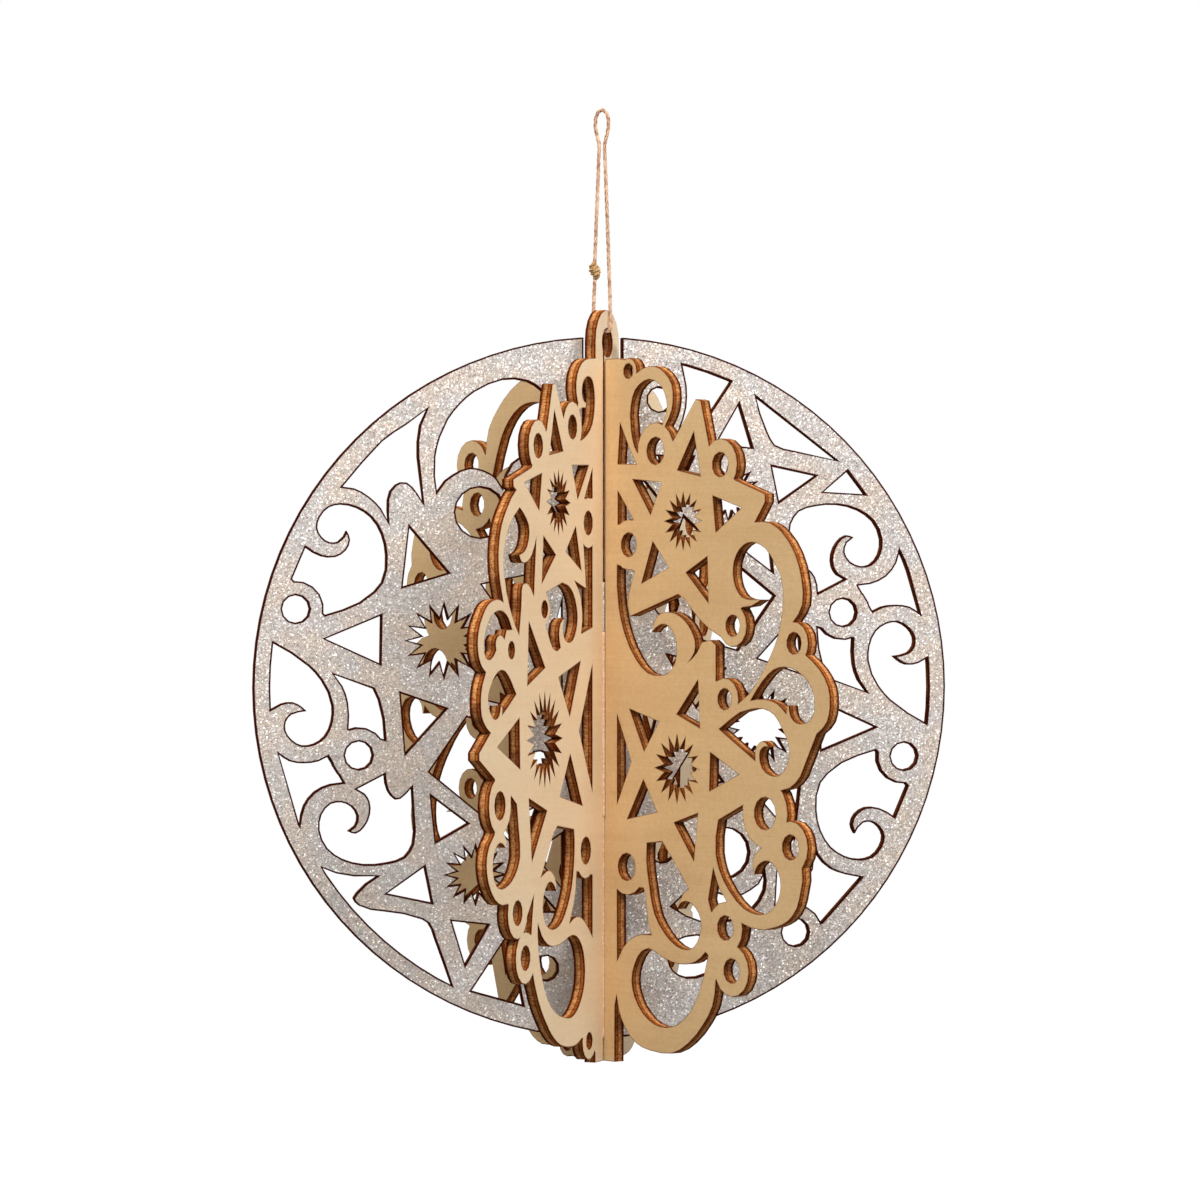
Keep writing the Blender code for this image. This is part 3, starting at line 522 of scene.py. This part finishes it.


# Each sheet's lit side faces the camera and the front lamps, and its skin there is painted amber as light.
edge_finish = {
    "glitter_disc": scorched_edge("disc_edge", "glitter_disc", -1, DISC_SOOT, DISC_SOOT_SHARES),
    "hanger_panel": scorched_edge("pale_edge", "hanger_panel", 1, PANEL_SOOT, PANEL_SOOT_SHARES),
    "scroll_panel": scorched_edge("tan_edge", "scroll_panel", -1, PANEL_SOOT, PANEL_SOOT_SHARES),
}
print("edges", [finish.name for finish in edge_finish.values()])

# %% [markdown]
# ## Glitter
# The disc is sprayed with glue and dusted with fine silver glitter. Seen close, it is a bed of tiny
# flakes that each lie at their own tilt, so one flake flashes while the next is grey. A Voronoi texture
# gives every cell a random colour. One part of it sets how light the flake is, another its faint pink,
# green or yellow tint, and the whole of it leans the surface's normal, so that the flashes move with the
# light as real ones do. A second, coarser Voronoi scatters larger sparks, and slow noise clouds the bed
# from warm to cool.

# %% The glitter finish
FLAKES_PER_METRE = 2900
SPARKS_PER_METRE = 1250
FLAKE_TILT = 0.28
FLAKE_STOPS = [
    (0.0, rgb(138, 130, 126)),
    (0.07, rgb(170, 162, 157)),
    (0.30, rgb(186, 178, 172)),
    (0.80, rgb(200, 192, 186)),
    (0.92, rgb(220, 214, 209)),
    (0.97, rgb(255, 255, 253)),
]
TINT_STOPS = [
    (0.0, rgb(255, 240, 238)),
    (0.30, rgb(255, 250, 248)),
    (0.70, rgb(248, 250, 250)),
    (0.85, rgb(240, 252, 242)),
    (1.0, rgb(255, 248, 228)),
]
TINT_SHARE, BED_SHARE = 0.8, 0.5
WARM_BED, COOL_BED = rgb(255, 243, 232), rgb(240, 245, 255)
DRIFT_SCALE = 85
DRIFT_CUT = (0.38, 0.62)
SPARK_CHANCE = (0.79, 0.84)
SPARK_RIM = (0.22, 0.34)
MIRROR_FLAKES = (0.5, 0.95, 0.0, 0.55)
GLITTER_ROUGHNESS = (0.26, 0.5)
GLITTER_FADE = 1.5
GLITTER_TOAST = rgb(74, 24, 12)


def scattered(finish, per_metre):
    """Random cells: the light, tint and shine of each, its colour, and the distance from its middle."""
    inputs = {"Vector": finish.place(), "Scale": per_metre}
    cells = finish.node("ShaderNodeTexVoronoi", {"feature": "F1"}, inputs, output="Color")
    distance = Signal(finish, cells.socket.node.outputs["Distance"])
    parts = finish.node("ShaderNodeSeparateColor", None, {0: cells}).socket.node.outputs
    return [Signal(finish, parts[k]) for k in range(3)] + [cells, distance]


def leaning_normal(finish, flakes):
    """The surface's normal, leaned by each flake's own colour."""
    maths = "ShaderNodeVectorMath"
    centred = finish.node(maths, {"operation": "SUBTRACT"}, {0: flakes, 1: (0.5, 0.5, 0.5)})
    lean = finish.node(maths, {"operation": "SCALE"}, {0: centred, "Scale": FLAKE_TILT})
    facing = finish.node("ShaderNodeNewGeometry", output="Normal")
    leaning = finish.node(maths, {"operation": "ADD"}, {0: facing, 1: lean})
    return finish.node(maths, {"operation": "NORMALIZE"}, {0: leaning})


def glitter(name):
    finish = Finish(name)
    light, tint, shine, flakes, _ = scattered(finish, FLAKES_PER_METRE)
    tone = finish.node("ShaderNodeValToRGB", {"stops": FLAKE_STOPS}, {"Fac": light})
    hue = finish.node("ShaderNodeValToRGB", {"stops": TINT_STOPS}, {"Fac": tint})
    colour = finish.mix(TINT_SHARE, tone, hue, blend="MULTIPLY")
    drift = finish.noise(finish.place(), scale=DRIFT_SCALE, detail=3)
    bed = finish.mix(finish.between(drift, *DRIFT_CUT), (*WARM_BED, 1), (*COOL_BED, 1))
    colour = finish.mix(BED_SHARE, colour, bed, blend="MULTIPLY")
    chance, _, _, _, distance = scattered(finish, SPARKS_PER_METRE)
    spark = finish.between(chance, *SPARK_CHANCE) * (1 - finish.between(distance, *SPARK_RIM))
    colour = finish.mix(spark, colour, WHITE)
    scorch = finish.attribute("scorch", "Fac") ** GLITTER_FADE
    colour = finish.mix(scorch.clamped(), colour, (*GLITTER_TOAST, 1))
    return finish.surface(
        base_color=colour,
        roughness=finish.between(shine, 0.0, 1.0, *GLITTER_ROUGHNESS),
        metallic=finish.between(shine, *MIRROR_FLAKES) * (1 - spark) + spark,
        normal=leaning_normal(finish, flakes),
    )


glitter_face = glitter("silver_glitter")
print("glitter", glitter_face.name)

# %% [markdown]
# ## Easing the sheets' edges
# Each sheet keeps the solid's outline exactly. Its packed mesh is loose triangles, so a copy is merged
# first. Then each face gets two narrow rings along its edge: the outer one is burnt all over and dips a
# little, like the worn arris of a sanded sheet, and across the inner one the scorch fades into the bare
# face. At a sharp corner an even inset reaches far, so a ring's corners are pulled back to a few widths.

# %% Rings along an edge
LONGEST_CORNER = 2.2
SMOOTH_ANGLE = radians(34)


def ring_inside(work, flat, width):
    """A ring of faces inside the edge of a flat region. Returns them and the corners on their outside."""
    made = bmesh.ops.inset_region(work, faces=flat, thickness=width, use_even_offset=True)["faces"]
    region = {*made, *flat}
    corners = {corner for each in made for corner in each.verts}
    outer = {corner for corner in corners if not region.issuperset(corner.link_faces)}
    longest = width * LONGEST_CORNER
    for line in {line for each in made for line in each.edges}:
        start, end = line.verts if line.verts[0] in outer else reversed(line.verts)
        if start in outer and end not in outer and line.calc_length() > longest:
            end.co = start.co + (end.co - start.co).normalized() * longest
    return made, outer


def mark_sharp(piece):
    """Edges that turn by more than the smoothing angle are drawn sharp, as well as those already marked."""
    work = bmesh.new()
    work.from_mesh(piece.data)
    for line in work.edges:
        if len(line.link_faces) == 2 and line.calc_face_angle() > SMOOTH_ANGLE:
            line.smooth = False
    work.to_mesh(piece.data)
    work.free()


print("a ring's corner reaches", LONGEST_CORNER, "widths at most")

# %% [markdown]
# ## The three sheets
# The walls of the cuts get the edge finish, and so does the disc's outer ring, because no glitter holds
# on charred wood. A face belongs to a side of the sheet when its normal leans more than halfway out of
# it.

# %% The sheets
PANEL_BURN = 0.12 * MM
DISC_BURN = 0.40 * MM
FADE_WIDTH = 0.16 * MM
ARRIS_DROP = 0.04 * MM
WELD = 0.002 * MM
OUTWARD_LEAN = 0.5
FACE_SLOT, EDGE_SLOT = 0, 1


def dressed_sheet(node, name, face, burn, burn_slot):
    across = Vector((-sin(SHEET_TURN[node]), cos(SHEET_TURN[node]), 0))
    work = bmesh.new()
    work.from_mesh(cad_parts[node].data)
    bmesh.ops.remove_doubles(work, verts=work.verts, dist=WELD)
    work.normal_update()
    scorch = work.verts.layers.float.new("scorch")
    for each in work.faces:
        each.smooth = True
        each.material_index = EDGE_SLOT if abs(each.normal.dot(across)) < OUTWARD_LEAN else FACE_SLOT
    for side in (1, -1):
        flat = [each for each in work.faces if side * each.normal.dot(across) > OUTWARD_LEAN]
        ring, border = ring_inside(work, flat, burn)
        for each in ring:
            each.material_index = burn_slot
        _, burnt = ring_inside(work, flat, FADE_WIDTH)
        for corner in border | burnt:
            corner[scorch] = 1
        bmesh.ops.translate(work, verts=list(border), vec=-side * ARRIS_DROP * across)
    made = finished(name, work, face, edge_finish[node])
    mark_sharp(made)
    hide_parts(node)
    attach(made, "ornament")
    return made


disc = dressed_sheet("glitter_disc", "glittered_disc", glitter_face, DISC_BURN, EDGE_SLOT)
hanger = dressed_sheet("hanger_panel", "tabbed_panel", pale_face, PANEL_BURN, FACE_SLOT)
scroll = dressed_sheet("scroll_panel", "plain_topped_panel", tan_face, PANEL_BURN, FACE_SLOT)

# %% [markdown]
# ## Glue along the crossing
# Where the three sheets lock together, a little glue has been squeezed out of the joint. It stands in the
# corners between neighbouring sheets as a pale, uneven bead. Above the joint the corners in front and
# behind show a sprayed stretch and, higher up, a thin dark brown bead that is painted shade for the
# shadow in the gap between the sheets. Below the joint there is only a hairline of glue. Thinner beads of
# those finishes lie there. Each bead is a rod down the axis in short steps, with its place wandering at
# every step.

# %% Glue
GLUE_OUT = 3.42 * MM
GLUE_ASIDE = 0.14 * MM
GLUE_STEP = 0.8 * MM
GLUE_WANDER = 0.07 * MM
GLUE_TOP, GLUE_BOTTOM = -134.2 * MM, -181.6 * MM
SPRAYED_TOP = -121.4 * MM
SEAM_SHADE_TOP, SEAM_BOTTOM = -62.0 * MM, -238.5 * MM
GLUE_RADIUS, SPRAYED_RADIUS, HAIRLINE_RADIUS, SEAM_SHADE_RADIUS = 0.42 * MM, 0.28 * MM, 0.26 * MM, 0.20 * MM
GLUE_SLOT, SPRAYED_SLOT, SEAM_SHADE_SLOT = 0, 1, 2
CORNERS = 6
FRONT, BACK = -pi / 2, pi / 2
GLUE_CLOUD_SCALE = 1500
GLUE_CUT = (0.35, 0.65)
GLUE_ROUGHNESS = (0.35, 0.6)
DRIED_GLUE_GLOSS = 0.5


def plain_finish(name, colour, darker, gloss):
    """A smooth finish that is cloudy between two colours."""
    finish = Finish(name)
    cloud = finish.noise(finish.place(), scale=GLUE_CLOUD_SCALE, detail=2)
    return finish.surface(
        base_color=finish.mix(finish.between(cloud, *GLUE_CUT), (*colour, 1), (*darker, 1)),
        roughness=finish.spread(cloud, *GLUE_ROUGHNESS),
        specular_ior_level=gloss,
    )


def bead(work, layer, bearing, top, bottom, radius, slot):
    """A thin uneven rod down a corner of the crossing, added to a bmesh with closed ends."""
    wander = Random(f"{bearing:.3f} {top:.4f}")
    outwards = Vector((cos(bearing), sin(bearing), 0))
    aside = Vector((sin(bearing), -cos(bearing), 0)) * GLUE_ASIDE
    count = ceil((top - bottom) / GLUE_STEP)
    centres = []
    for k in range(count + 1):
        middle = outwards * (GLUE_OUT + wander.uniform(-GLUE_WANDER, GLUE_WANDER))
        centres.append(middle + aside + Vector((0, 0, top + (bottom - top) * k / count)))
    for each in rod(work, layer, centres, radius):
        each.smooth = True
        each.material_index = slot


dried_glue = plain_finish("dried_glue", rgb(226, 194, 164), rgb(204, 166, 134), DRIED_GLUE_GLOSS)
# The dark brown seam finish is painted shade for the shadow in the gap between the sheets.
painted_seam_shade = plain_finish("painted_seam_shade", rgb(96, 48, 20), rgb(60, 26, 10), CHARRED_GLOSS)
work, fibre_layer = start_rods()
for number in range(CORNERS):
    bead(work, fibre_layer, FRONT + number * pi / 3, GLUE_TOP, GLUE_BOTTOM, GLUE_RADIUS, GLUE_SLOT)
for bearing in (FRONT, BACK):
    bead(work, fibre_layer, bearing, SPRAYED_TOP, GLUE_TOP, SPRAYED_RADIUS, SPRAYED_SLOT)
    bead(work, fibre_layer, bearing, GLUE_BOTTOM, SEAM_BOTTOM, HAIRLINE_RADIUS, GLUE_SLOT)
    # A dark bead of painted shade down the seam above the sprayed stretch.
    bead(work, fibre_layer, bearing, SEAM_SHADE_TOP, SPRAYED_TOP, SEAM_SHADE_RADIUS, SEAM_SHADE_SLOT)
glue = finished("glue_beads", work, dried_glue, glitter_face, painted_seam_shade)
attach(glue, "ornament")

# %% [markdown]
# ## The twine
# The twine is pink and gold fibre. Fine noise that is long along each yarn and short round it draws the
# fibres, and a slow drift lets some stretches turn paler, as thread that catches the light does.

# %% The twine
HAIR_SCALE = (9000, 9000, 700)
HAIR_BUMP, HAIR_RELIEF = 0.5, 0.05 * MM
TWINE_DRIFT_SCALE = 700
HAIR_SHARE, DRIFT_SHARE = 0.7, 0.3
TWINE_CUT = (0.36, 0.64)
TWINE_ROUGHNESS = (0.45, 0.7)
TWINE_GLOSS = 0.25


def twine(name, light, dark):
    """The fibres of twisted yarns, from a light colour to a dark one."""
    finish = Finish(name)
    hairs = finish.noise(finish.scaled(finish.attribute("fibre", "Vector"), HAIR_SCALE), detail=2)
    drift = finish.noise(finish.place(), scale=TWINE_DRIFT_SCALE, detail=1)
    depth = finish.between(hairs * HAIR_SHARE + drift * DRIFT_SHARE, *TWINE_CUT)
    return finish.surface(
        base_color=finish.mix(depth, (*light, 1), (*dark, 1)),
        roughness=finish.spread(hairs, *TWINE_ROUGHNESS),
        specular_ior_level=TWINE_GLOSS,
        normal=finish.bump(hairs, HAIR_BUMP, HAIR_RELIEF),
    )


work, fibre_layer = start_rods()
twisted(work, fibre_layer, cord_route)
cord = finished("twisted_cord", work, twine("pink_gold_twine", rgb(240, 202, 166), rgb(146, 94, 68)))
cord.data.shade_smooth()
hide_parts("hanging_cord")
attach(cord, "hanging_loop")

# %% [markdown]
# ## The knot
# The two ends of the twine meet in a small hard knot, pulled so tight that no ends stand out. Its outside
# is a few tight coils round the standing part. They follow a helix whose radius swells in the middle like
# an egg, and the whole helix leans, because the last turn is drawn down across the others.

# %% The knot
KNOT_MIDDLE = in_place((KNOT_ACROSS, KNOT_UP))
KNOT_HALF = 2.3 * MM
COIL_RADIUS = 1.02 * MM
COIL_TAPER = 0.72
COIL_TURNS = 4
COIL_HALF = 1.65 * MM
COIL_LEAN = radians(24)
COIL_STEPS = 112
COIL_YARN_RADIUS = 0.30 * MM
STANDING_STEPS = 10


def coil_route():
    lean = Quaternion(towards_camera, COIL_LEAN)
    route = [KNOT_MIDDLE - Vector((0, 0, KNOT_HALF))]
    for k in range(COIL_STEPS + 1):
        height = 2 * k / COIL_STEPS - 1
        bearing = pi * COIL_TURNS * height
        out = COIL_RADIUS * (1 - COIL_TAPER * height**2)
        coil = Vector((out * cos(bearing), out * sin(bearing), COIL_HALF * height))
        route.append(KNOT_MIDDLE + lean @ coil)
    return route + [KNOT_MIDDLE + Vector((0, 0, KNOT_HALF))]


def standing_route():
    steps = range(-STANDING_STEPS, STANDING_STEPS + 1)
    return [KNOT_MIDDLE + Vector((0, 0, k * KNOT_HALF / STANDING_STEPS)) for k in steps]


work, fibre_layer = start_rods()
twisted(work, fibre_layer, coil_route(), radius=COIL_YARN_RADIUS)
twisted(work, fibre_layer, standing_route())
knot = finished("tied_knot", work, twine("pink_gold_knot", rgb(220, 182, 124), rgb(136, 88, 50)))
knot.data.shade_smooth()
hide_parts("cord_knot")
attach(knot, "hanging_loop")
tuple(in_place(EYE_EXIT))

# %% [markdown]
# ## A white studio
# The ornament hangs in front of nothing but white, so the world is plain white to the camera and to
# reflections, and a softer grey to everything else, lighter overhead than at the horizon. The floor works
# in the same way: half of what the camera sees of it is its own glow, and the other half is paint that
# can catch a shadow.

# %% World and floor
FLOOR_HEIGHT = -0.42
FLOOR_SIDE = 6.0
LOW_SKY, HIGH_SKY = 0.06, 0.54
SKY_FROM, SKY_TO = -0.1, 0.9
FLOOR_PAINT = (0.20, 0.20, 0.20, 1)
FLOOR_GLOW = 1.95
GLOW_SHARE = 0.5


def seen_directly(graph):
    """1 for rays from the camera, also by way of a mirror or glass, and 0 for light on other things."""
    rays = ("Is Camera Ray", "Is Glossy Ray", "Is Transmission Ray")
    camera, glossy, clear = (graph.node("ShaderNodeLightPath", output=ray) for ray in rays)
    return (camera + glossy + clear).clamped()


def white_world():
    world = bpy.data.worlds.new("white_studio")
    world.use_nodes = True
    graph = Graph(world.node_tree)
    graph.tree.nodes.clear()
    towards = graph.node("ShaderNodeTexCoord", output="Generated")
    upwards = graph.node("ShaderNodeSeparateXYZ", None, {0: towards}, output="Z")
    sky = graph.between(upwards, SKY_FROM, SKY_TO, LOW_SKY, HIGH_SKY)
    light = graph.node("ShaderNodeBackground", None, {"Color": WHITE, "Strength": sky})
    backdrop = graph.node("ShaderNodeBackground", None, {"Color": WHITE})
    both = graph.node("ShaderNodeMixShader", None, {0: seen_directly(graph), 1: light, 2: backdrop})
    graph.node("ShaderNodeOutputWorld", None, {"Surface": both}, output=None)
    bpy.context.scene.world = world


def pale_floor():
    work = bmesh.new()
    bmesh.ops.create_grid(work, x_segments=1, y_segments=1, size=FLOOR_SIDE / 2)
    bmesh.ops.translate(work, verts=work.verts, vec=(0, 0, FLOOR_HEIGHT))
    finish = Finish("pale_floor")
    finish.tree.nodes.clear()
    paint = finish.node("ShaderNodeBsdfDiffuse", None, {"Color": FLOOR_PAINT})
    glow = finish.node("ShaderNodeEmission", None, {"Color": WHITE, "Strength": FLOOR_GLOW})
    share = seen_directly(finish) * GLOW_SHARE
    both = finish.node("ShaderNodeMixShader", None, {0: share, 1: paint, 2: glow})
    finish.node("ShaderNodeOutputMaterial", None, {"Surface": both}, output=None)
    finished("pale_floor", work, finish.material)


white_world()
pale_floor()

# %% [markdown]
# ## Soft lamps
# Two soft lamps stand high in front, each facing one of the bare sheets. Both lie within the angle
# between those sheets, so that neither sheet throws its shadow on the other. The left one is nearer,
# which makes the sheet that it lights paler at the top than at its foot. Two larger lamps light the far
# side in the same way.

# %% Lamps
MIDDLE = Vector((0, 0, -0.15))
# Each lamp: degrees to the right of the disc's face, degrees up, metres away, metres across, watts
LAMPS = {
    "key_lamp": (29, 34, 1.4, 0.5, 11.6),
    "left_lamp": (-22, 42, 1.05, 0.4, 7.7),
    "right_back_lamp": (142, 30, 1.6, 0.8, 16),
    "left_back_lamp": (208, 34, 1.6, 0.8, 16),
}


def soft_lamp(name, azimuth, rise, reach, side, watts):
    """A square lamp that points at the ornament."""
    data = bpy.data.lights.new(name, "AREA")
    data.shape = "SQUARE"
    data.size = side
    data.energy = watts
    lamp = bpy.data.objects.new(name, data)
    away = Vector((sin(azimuth) * cos(rise), -cos(azimuth) * cos(rise), sin(rise)))
    lamp.location = MIDDLE + reach * away
    lamp.rotation_euler = away.to_track_quat("Z", "Y").to_euler()
    bpy.context.scene.collection.objects.link(lamp)


for name, (azimuth, rise, *rest) in LAMPS.items():
    soft_lamp(name, radians(azimuth), radians(rise), *rest)
bpy.context.scene.view_settings.view_transform = "Standard"
print("lamps", list(LAMPS))
